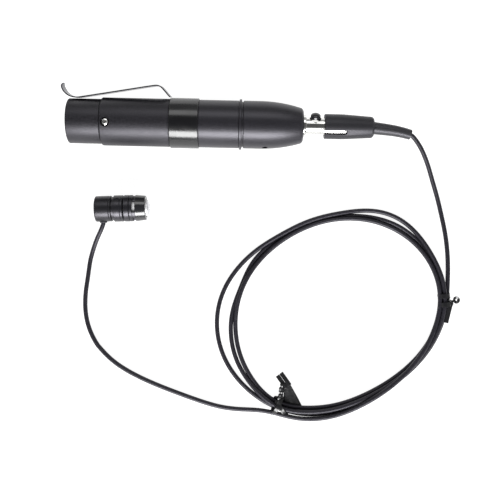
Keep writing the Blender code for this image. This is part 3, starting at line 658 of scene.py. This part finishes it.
def makeBody(plan):
    body = makePiece("body_casing", turned([
        (plan["start"], plan["bore"]), (plan["start"], plan["radius"], 0.4),
        (plan["seatStart"], plan["radius"], 0.12), (plan["seatStart"], plan["seat"]),
        (plan["seatEnd"], plan["seat"]), (plan["seatEnd"], plan["frontRadius"], 0.12),
        (plan["end"], plan["frontRadius"], 0.12), (plan["end"], plan["bore"])]),
        preampPlace, "stovedPaint", "preamp", ["body_tube"])
    screwPlace = radialPlace(preampPlace, outputPlan["screwX"], 0.0)
    carve(body, [tool(rod(8, 12, plan["screwRecess"]), screwPlace)])
    body.data.materials.append(looks["satinPaint"])  # the part in front of the clip's seat is smoother
    frontStart = outputEnd.x + plan["seatEnd"] * mm
    for face in body.data.polygons:
        if face.center.x > frontStart:
            face.material_index = 1

    makePiece("seam_band", turned([
        (plan["end"] + 0.15, 9.2), (plan["end"] + 0.15, plan["ringRadius"], 0.25),
        (plan["ringEnd"], plan["ringRadius"], 0.25), (plan["ringEnd"], plan["shoulder"]),
        (plan["noseStart"] - 0.1, plan["shoulder"]), (plan["noseStart"] - 0.1, 9.2)]),
        preampPlace, "satinPaint", "preamp", ["seam_ring"])

    nose = makePiece("nose_casing", turned(noseOutline(plan)), preampPlace, "satinPaint", "preamp",
                     ["nose_shell"])
    setPlace = radialPlace(preampPlace, plan["setScrewX"], plan["setScrewTurn"])
    carve(nose, [tool(rod(6.5, 11.0, plan["setScrewHole"]), setPlace)])
    screw = makePiece("nose_grub_screw", rod(7.2, 9.2, plan["setScrewRadius"], tip=0.1), setPlace,
                      "bluedSteel", "preamp", ["nose_set_screw"])
    carve(screw, [tool(rod(8.3, 10.0, plan["setScrewSocket"], sides=6), setPlace)])
    print("body done")


clipPlan = {"start": 43.85, "end": 56.1, "radius": 10.75, "bore": 10.15, "width": 7.0, "thickness": 0.5}
clipLine = [(-2.1, 16.0), (-2.65, 14.9), (-1.75, 12.75), (-0.1, 11.15), (1.9, 10.3), (4.3, 10.1),
            (7.3, 10.55), (18.1, 12.4), (28.4, 14.2), (36.0, 15.5), (38.4, 15.7), (39.9, 15.1),
            (41.2, 13.8), (42.6, 12.2), (43.7, 11.0)]


def makeClip(plan):
    makePiece("clip_sleeve", turned([
        (plan["start"], plan["bore"], 0.1), (plan["start"], plan["radius"], 0.3),
        (plan["end"], plan["radius"], 0.3), (plan["end"], plan["bore"], 0.1)], 128),
        preampPlace, "glossBandPaint", "clip_band", ["clip_band"])
    line = smoothLine([(x * mm, y * mm, 0) for x, y in clipLine], 0.7 * mm)
    half = plan["width"] / 2
    stations = []
    travelled = 0.0
    for index, point in enumerate(line):
        if index:
            travelled += (point - line[index - 1]).length / mm
        inset = max(0.0, 1.0 - (travelled + 0.1) / half)
        width = half * math.sqrt(1.0 - inset * inset)
        side = preampPlace.to_3x3() @ Vector((0, 0, 1))
        stations.append((preampPlace @ point, width, side))
    arm = ribbon("clip_strip", stations, "bluedSteel", plan["thickness"], 6, len(line) * 2)
    softEdges(arm, 0.12, 3, 60.0)
    applyFinish(arm, 25.0)
    settle(arm, "clip_arm", ["clip_arm"], 25.0)
    print("belt clip done")


socketPlan = {"collar": 4.9, "sleeve": 4.6, "bore": 4.15, "start": 86.0, "step": 101.1, "end": 102.3,
              "notches": (25.0, 145.0, 265.0)}


def makeSocket(plan):
    sleeve = makePiece("socket_sleeve", turned([
        (plan["start"], plan["bore"]), (plan["start"], plan["sleeve"]), (plan["step"], plan["sleeve"]),
        (plan["step"], plan["collar"], 0.15), (plan["end"], plan["collar"], 0.3),
        (plan["end"], plan["bore"], 0.15)]), preampPlace, "nickelPlate", "preamp", ["jack_shell"])
    notches = []
    for degrees in plan["notches"]:
        place = radialPlace(preampPlace, plan["end"], degrees)
        notches.append(tool(block((plan["bore"] - 0.5, -0.6, -0.75), (6, 0.6, 0.75)), place))
    carve(sleeve, notches)
    print("socket done")


plugPlan = {"start": 94.3, "radius": 3.82, "bore": 3.3, "end": 118.5, "buttonX": 106.2, "buttonRadius": 2.15,
            "buttonTop": 6.1, "handleStart": 110.2, "handleEnd": 131.5, "handleRadius": 5.35,
            "handleTip": 4.45, "endBore": 3.2, "slotLength": 9.7, "slotWidth": 2.1, "keyEnd": 119.4,
            "keyTop": 4.7, "dish": (2.6, 2.1, 0.7), "bootRadii": (2.8, 2.2)}


def makePlug(plan):
    barrel = makePiece("plug_barrel", turned([
        (plan["start"], plan["bore"], 0.1), (plan["start"], plan["radius"], 0.25),
        (plan["end"], plan["radius"], 0.1), (plan["end"], plan["bore"], 0.1)]),
        plugPlace, "nickelPlate", "microphone", ["plug_shell"])
    keyHalf = plan["slotWidth"] / 2 - 0.3
    key = block((plan["handleStart"] - 0.6, -keyHalf, plan["bore"] + 0.2),
                (plan["keyEnd"], keyHalf, plan["keyTop"]), 0.2)
    carve(barrel, [tool(key, plugPlace)], "UNION")
    buttonPlace = radialPlace(plugPlace, plan["buttonX"], -90.0)
    carve(barrel, [tool(rod(2.0, 7.0, plan["buttonRadius"] + 0.35), buttonPlace)])

    top, radius = plan["buttonTop"], plan["buttonRadius"]
    dome = [(top - 1.15 * (1 - math.cos(math.radians(a))), radius * math.sin(math.radians(a)))
            for a in range(85, 0, -8)]
    makePiece("release_button", turned(
        [(3.6, 0), (3.6, 0.9, 0.1), (4.0, 0.9), (4.0, radius, 0.15), (4.75, radius)] + dome + [(top, 0)],
        64, hollow=False), buttonPlace, "glossButton", "latch_button", ["latch_button"])

    bore = plan["radius"] + 0.3
    handle = makePiece("plug_grip", turned([
        (plan["handleStart"], bore, 0.1), (plan["handleStart"], plan["handleRadius"], 0.45),
        (plan["handleStart"] + 8.0, plan["handleRadius"], 30.0),
        (plan["handleEnd"] - 0.8, plan["handleTip"] + 0.12, 0.3),
        (plan["handleEnd"], plan["handleTip"] - 0.5, 0.25), (plan["handleEnd"], plan["endBore"], 0.1),
        (120.5, plan["endBore"]), (120.5, bore)]),
        plugPlace, "blackNylon", "microphone", ["plug_handle"])
    slotEnd = plan["handleStart"] + plan["slotLength"] - plan["slotWidth"] / 2
    half = plan["slotWidth"] / 2
    slot = tool(block((plan["handleStart"] - 1, -half, 3.4), (slotEnd, half, 6.0)), plugPlace)
    slotRound = tool(rod(3.4, 6.0, half), radialPlace(plugPlace, slotEnd, 0.0))
    dish = bmesh.new()
    bmesh.ops.create_uvsphere(dish, u_segments=48, v_segments=32, radius=1.0)
    bmesh.ops.scale(dish, vec=[size * mm for size in plan["dish"]], verts=dish.verts)
    dishTool = tool(dish, plugPlace @ Matrix.Translation(((slotEnd + 0.4) * mm, 0, 5.7 * mm)))
    carve(handle, [dishTool, slot, slotRound])

    boot = roundCord("cord_boot", smoothLine([fromOutput(point) for point in bootRoute], 0.7 * mm),
                     plan["bootRadii"], "bootRubber", 10)
    settle(boot, "microphone", ["strain_relief"])
    print("plug done")
    return barrel, handle, boot


headPlan = {"capRadius": 5.65, "capLength": 7.1, "barrelRadius": 5.8, "radius": 5.82, "portStart": 16.5,
            "portEnd": 17.8, "portTurn": -6.0, "portHalfAngle": 29.0, "end": 22.25, "frontRadius": 5.35,
            "groove": 5.2, "cordHole": 3.3, "canRadius": 4.3, "canTip": 3.65, "domeRadius": 3.0,
            "grilleRings": ((0.0, 1), (0.8, 6), (1.55, 12)), "grilleHole": 0.24}


def fineGroove(x, radius, width=0.18, depth=0.14):
    # a small turned groove, as outline points along the outer side
    return [(x - width, radius, 0.05), (x, radius - depth), (x + width, radius, 0.05)]


def makeHead(plan):
    capEnd, radius, barrel = plan["capLength"], plan["capRadius"], plan["barrelRadius"]
    cap = makePiece("head_cap", turned(
        [(0, 0), (0, radius, 0.7)] + fineGroove(capEnd - 0.8, radius)
        + [(capEnd, radius, 0.12), (capEnd, 4.5), (9.4, 4.5), (9.4, 4.0), (1.0, 4.0), (1.0, 0)],
        hollow=False),
        headPlace, "anodisedMatte", "microphone", ["head_rear_cap"])
    cordPlace = radialPlace(headPlace, plan["cordHole"], 90.0)
    carve(cap, [tool(rod(4.7, 8.0, 1.95), cordPlace), tool(rod(3.0, 8.0, 1.7), cordPlace)])
    makePiece("cord_bush", turned([
        (3.7, 1.02), (3.7, 1.4), (4.9, 1.4), (4.9, 1.65, 0.1), (6.15, 1.65, 0.35), (6.15, 1.02, 0.1)], 48),
        cordPlace, "bootRubber", "microphone", ["cord_grommet"])

    makePiece("head_ring", turned(
        [(capEnd + 0.3, 4.8), (capEnd + 0.3, plan["groove"], 0.08), (8.3, plan["groove"]),
         (8.3, barrel, 0.18)]
        + fineGroove(11.2, barrel) + [(12.15, barrel, 0.12), (12.4, barrel - 0.3), (12.4, 4.8)]),
        headPlace, "anodisedBlack", "microphone", ["head_barrel"])

    shell, end = plan["radius"], plan["end"]
    portStart, portEnd = plan["portStart"], plan["portEnd"]
    housing = makePiece("cartridge_shell", turned(
        [(12.7, 4.65), (12.7, shell - 0.25), (12.95, shell, 0.1), (14.95, shell, 0.1), (15.1, shell - 0.3),
         (15.3, shell, 0.08), (portStart - 0.12, shell, 0.08), (portStart, shell - 0.1),
         (portEnd, shell - 0.1), (portEnd + 0.12, shell - 0.02, 0.12), (end, plan["frontRadius"], 0.3),
         (end, 3.95, 0.15), (end - 0.6, 3.95), (end - 0.6, 4.65)]),
        headPlace, "anodisedBlack", "microphone", ["cartridge_housing"])
    port = [(portStart, 4.45), (portEnd, 4.45), (portEnd, 6.5), (portStart, 6.5)]
    turns = [headPlace @ turnAbout(plan["portTurn"] + 90 * number, "X") for number in range(4)]
    carve(housing, [tool(wedge(port, plan["portHalfAngle"]), turn) for turn in turns])
    housing.data.materials.append(looks["anodisedGloss"])
    toHead = headPlace.inverted()
    for face in housing.data.polygons:
        if (toHead @ face.center).x > (portEnd + 0.1) * mm:
            face.material_index = 1

    makePiece("cartridge_body", turned([
        (13.2, 3.9), (13.2, plan["canRadius"], 0.2), (end - 0.95, plan["canRadius"], 0.2),
        (end - 0.95, plan["canTip"]), (end + 0.5, plan["canTip"], 0.2),
        (end + 0.7, 3.45, 0.1), (end + 0.7, 3.3, 0.05), (end - 1.4, 3.3), (end - 1.4, 3.9)]),
        headPlace, "satinSilver", "microphone", ["cartridge_can"])
    radius = plan["domeRadius"]
    dome = [(end + 1.5 - 0.9 * (1 - math.cos(math.radians(a))), radius * math.sin(math.radians(a)))
            for a in range(85, 0, -10)]
    grille = makePiece("grille_dome", turned(
        [(end - 0.2, 0), (end - 0.2, radius), (end + 0.55, radius, 0.1)] + dome + [(end + 1.5, 0)],
        64, hollow=False),
        headPlace, "brushedNickel", "microphone", ["front_grille"])
    holes = []
    for ring, count in plan["grilleRings"]:
        for index in range(count):
            angle = math.tau * index / count
            spot = Matrix.Translation((0, ring * math.cos(angle) * mm, ring * math.sin(angle) * mm))
            holes.append(tool(rod(end + 0.2, end + 2, plan["grilleHole"], sides=12), headPlace @ spot))
    carve(grille, holes)
    print("head done")


def coilSpot(degrees, out, along=0.0, height=0.0):
    # a place by the coil: out mm beyond the innermost strand, along mm anticlockwise, height above the table
    angle = math.radians(degrees)
    distance = innerReach(degrees) + out
    x = coilPlan["x"] + distance * math.cos(angle) - along * math.sin(angle)
    y = coilPlan["y"] + distance * math.sin(angle) + along * math.cos(angle)
    return fromOutput((x, y, height))


tiePlan = {"half": 0.95, "thickness": 0.32, "sideAngle": 9.2, "sideBands": (-2.9, 3.9), "bundleOut": 1.5,
           "wrapReach": 2.65, "bundleHeight": 2.35, "wrapRise": 2.1, "twists": 1.3, "twistRadius": 0.5,
           "flapHalf": 0.93, "flapApart": 0.98, "legHalves": [1.2, 2.2, 3.15, 4.25]}
sideLoop = {"entry": (167.7, -74.7, 3.1), "centre": (171.25, -74.35, 3.0), "radius": 1.05, "half": 0.65,
            "turns": (190, 140, 90, 40, -10, -60, -110, -150)}
sideTail = [(168.9, -76.5, 2.95), (168.45, -78.2, 2.8), (168.0, -80.6, 2.5), (167.2, -84.7, 2.2)]
lowerKnot = [(92.5, -120.6, 3.4), (93.6, -122.4, 4.7), (94.9, -124.3, 4.7), (96.3, -126.4, 3.5),
             (97.1, -127.3, 1.6), (96.0, -125.5, 0.25), (95.1, -121.8, 0.25), (95.0, -119.4, 1.7),
             (94.4, -120.4, 3.7), (93.5, -122.3, 5.05), (92.6, -124.2, 5.0), (91.6, -126.1, 3.6),
             (91.0, -127.0, 1.6), (91.2, -125.0, 0.25), (91.9, -121.6, 0.25), (92.2, -119.7, 1.7),
             (92.9, -119.7, 3.0)]
lowerTwist = [(93.5, -119.9, 3.3), (94.4, -118.0, 3.3), (94.55, -115.6, 3.3), (95.1, -113.2, 3.2)]
lowerFlap = [(93.5, -109.1, 2.2), (95.5, -111.7, 2.9), (97.5, -114.4, 3.1)]
lowerLeg = [(96.9, -112.8, 1.7), (97.8, -116.0, 1.3), (98.9, -119.5, 0.85), (100.1, -123.8, 0.4)]


def levelSides(points):
    # for a strip that lies flat or wraps round: level vectors across the path, all to the same side
    sides = []
    for index, point in enumerate(points):
        before, after = points[max(index - 1, 0)], points[min(index + 1, len(points) - 1)]
        side = Vector((after.y - before.y, before.x - after.x, 0))
        if sides and side.length < 1e-4:
            side = sides[-1].copy()
        side.normalize()
        if sides and side.dot(sides[-1]) < 0:
            side.negate()
        sides.append(side)
    return sides


def tieStrip(name, points, sides, halves, replaced=(), ridge=0.0):
    # a flat tie through points in metres, with the way its width points and its half width at each
    line = smoothLine(points, 0.3 * mm)
    reach = [0.0]
    for a, b in zip(points, points[1:]):
        reach.append(reach[-1] + (b - a).length)
    stations = []
    span = 0
    for index, point in enumerate(line):
        goal = reach[-1] * index / (len(line) - 1)
        while span < len(points) - 2 and reach[span + 1] < goal:
            span += 1
        share = (goal - reach[span]) / (reach[span + 1] - reach[span])
        half = halves[span] + (halves[span + 1] - halves[span]) * share
        stations.append((point, half, sides[span].lerp(sides[span + 1], share)))
    piece = ribbon(name, stations, "tiePlastic", tiePlan["thickness"], 6, len(line), ridge)
    softEdges(piece, 0.08, 2, 60.0)
    applyFinish(piece, 28.0)
    settle(piece, "microphone", replaced, 28.0)
    return piece


def makeTies():
    half = tiePlan["half"]
    firstBand, shift = tiePlan["sideBands"]
    angle = math.radians(tiePlan["sideAngle"])
    points = []
    # the side tie goes twice round the bundle, then out in a loop and back along the cord
    for index in range(17):
        turns = index / 8
        a = math.tau * turns
        along = firstBand + shift * glide(turns - 0.25)
        out = tiePlan["bundleOut"] + tiePlan["wrapReach"] * math.cos(a)
        height = tiePlan["bundleHeight"] + tiePlan["wrapRise"] * math.sin(a)
        points.append(coilSpot(tiePlan["sideAngle"], out, along, height))
    acrossBundle = Vector((-math.sin(angle), math.cos(angle), 0))
    sides = [acrossBundle] * len(points)
    points.append(fromOutput(sideLoop["entry"]))
    sides.append(Vector((0.2, 1, 0.2)).normalized())
    bandPoints = len(points)
    for degrees in sideLoop["turns"]:
        out = Vector((math.cos(math.radians(degrees)), math.sin(math.radians(degrees)), 0))
        points.append(fromOutput(sideLoop["centre"]) + out * sideLoop["radius"] * mm)
        sides.append((out + Vector((0, 0, 0.5))).normalized())
    tail = [fromOutput(spot) for spot in sideTail]
    points += tail
    sides += [-side for side in levelSides(tail)]
    halves = [half] * bandPoints + [sideLoop["half"]] * len(sideLoop["turns"]) + [half] * len(sideTail)
    pieces = [tieStrip("side_tie_strip", points, sides, halves, ["side_tie"])]

    knot = [fromOutput(spot) for spot in lowerKnot]
    pieces.append(tieStrip("lower_tie_knot", knot, levelSides(knot), [half] * len(knot), ["lower_tie"]))
    centre = smoothLine([fromOutput(spot) for spot in lowerTwist], 0.4 * mm)
    for number in range(2):  # the two ends are twisted together
        twisted, sides = [], []
        for index, point in enumerate(centre):
            ahead = (centre[min(index + 1, len(centre) - 1)] - centre[max(index - 1, 0)]).normalized()
            flat = ahead.cross(Vector((0, 0, 1))).normalized()
            a = math.tau * (number / 2 + tiePlan["twists"] * index / len(centre))
            out = flat * math.cos(a) + ahead.cross(flat) * math.sin(a)
            twisted.append(point + out * tiePlan["twistRadius"] * mm)
            sides.append(ahead.cross(out))
        pieces.append(tieStrip(f"lower_tie_twist_{number + 1}", twisted, sides, [half] * len(twisted)))
    flap = [fromOutput(spot) for spot in lowerFlap]
    sides = levelSides(flap)
    apart, halves = tiePlan["flapApart"], [tiePlan["flapHalf"]] * len(flap)
    for number, place in enumerate((-apart, apart)):  # folded over, so that two widths lie side by side
        lane = [point + side * place * mm for point, side in zip(flap, sides)]
        pieces.append(tieStrip(f"lower_tie_flap_{number + 1}", lane, sides, halves, ridge=0.1))
    leg = [fromOutput(spot) for spot in lowerLeg]
    pieces.append(tieStrip("lower_tie_leg", leg, [Vector((1, 0, 0.1))] * len(leg), tiePlan["legHalves"],
                           ridge=0.12))
    print("ties done")
    return pieces


lightPlan = {
    "floorSize": 12.0,  # metres
    "floorColour": (0.3, 0.3, 0.3),
    "floorGlow": 0.9,
    "keyPower": 19.0,
    "keySize": (0.8, 0.46),
    "keyTilt": 59.0,  # degrees from straight up towards -Y
    "fillPower": 1.8,
    "fillSize": (0.8, 0.36),
    "fillTilt": -42.0,
    "distance": 0.9,
    "aim": (0.03, -0.03, 0.01),
    "sky": 0.38,
    "skyTop": 0.1,
    "skyEdge": (0.8, 0.93),  # where the sky turns darker overhead
}


def makeFloor(plan):
    bm = bmesh.new()
    bmesh.ops.create_grid(bm, x_segments=1, y_segments=1, size=plan["floorSize"])
    mesh = toMesh(bm, "floor", Matrix.Translation((0, 0, -0.02 * mm)))
    floor = addObject("floor", mesh)
    material, shader = newLook("floorPaper", plan["floorColour"], 0.9)
    shader.inputs["Emission Color"].default_value = (1, 1, 1, 1)
    shader.inputs["Emission Strength"].default_value = plan["floorGlow"]
    mesh.materials.append(material)
    print("floor laid")


def areaLight(name, power, size, tilt, plan):
    data = bpy.data.lights.new(name, "AREA")
    data.shape = "RECTANGLE"
    data.size, data.size_y = size
    data.energy = power
    light = addObject(name, data)
    away = Vector((0, -math.sin(math.radians(tilt)), math.cos(math.radians(tilt))))
    light.location = Vector(plan["aim"]) + away * plan["distance"]
    light.rotation_euler = away.to_track_quat("Z", "Y").to_euler()


def makeLights(plan):
    areaLight("key_light", plan["keyPower"], plan["keySize"], plan["keyTilt"], plan)
    areaLight("fill_light", plan["fillPower"], plan["fillSize"], plan["fillTilt"], plan)
    world = bpy.data.worlds.new("studio")
    world.use_nodes = True
    nodes, links = world.node_tree.nodes, world.node_tree.links
    coords = nodes.new("ShaderNodeTexCoord")
    split = nodes.new("ShaderNodeSeparateXYZ")
    ramp = nodes.new("ShaderNodeValToRGB")
    tones = (plan["sky"], plan["skyTop"])
    for element, place, tone in zip(ramp.color_ramp.elements, plan["skyEdge"], tones):
        element.position = place
        element.color = (tone, tone, tone, 1)
    links.new(coords.outputs["Generated"], split.inputs["Vector"])
    links.new(split.outputs["Z"], ramp.inputs["Fac"])
    links.new(ramp.outputs["Color"], nodes["Background"].inputs["Color"])
    bpy.context.scene.world = world
    bpy.context.scene.view_settings.view_transform = "Standard"
    print("lights placed")


innerFinishes = {
    "boardMask": ["circuit_board", "capsule_board"],
    "capacitorSleeve": ["capacitor_1", "capacitor_2"],
    "chipEpoxy": ["amplifier_chip", "output_transistor", "filter_choke"],
    "nickelPlate": ["ground_spring", "jack_nut", "latch_spring", "cord_clamp", "microphone_capsule"],
    "goldPlate": ["jack_pin_1", "jack_pin_2", "jack_pin_3", "jack_pin_4", "plug_contact_1", "plug_contact_2",
                  "plug_contact_3", "plug_contact_4", "contact_pin"],
    "blackNylon": ["jack_insert", "plug_insert", "contact_insulator"],
    "acousticFoam": ["foam_disc", "damping_felt"],
}


def finishInside():
    # the inner pieces keep their own meshes and get their finish here
    for look, names in innerFinishes.items():
        for name in names:
            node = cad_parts[name]
            node.data.materials.clear()
            node.data.materials.append(looks[look])
    print("inner pieces finished")


makeLooks()
makeCamera(cameraPlan)
cord = makeCord()
makeOutput(outputPlan)
makeBody(bodyPlan)
makeClip(clipPlan)
makeSocket(socketPlan)
barrel, grip, boot = makePlug(plugPlan)
makeHead(headPlan)
ties = makeTies()
finishInside()
makeFloor(lightPlan)
makeLights(lightPlan)
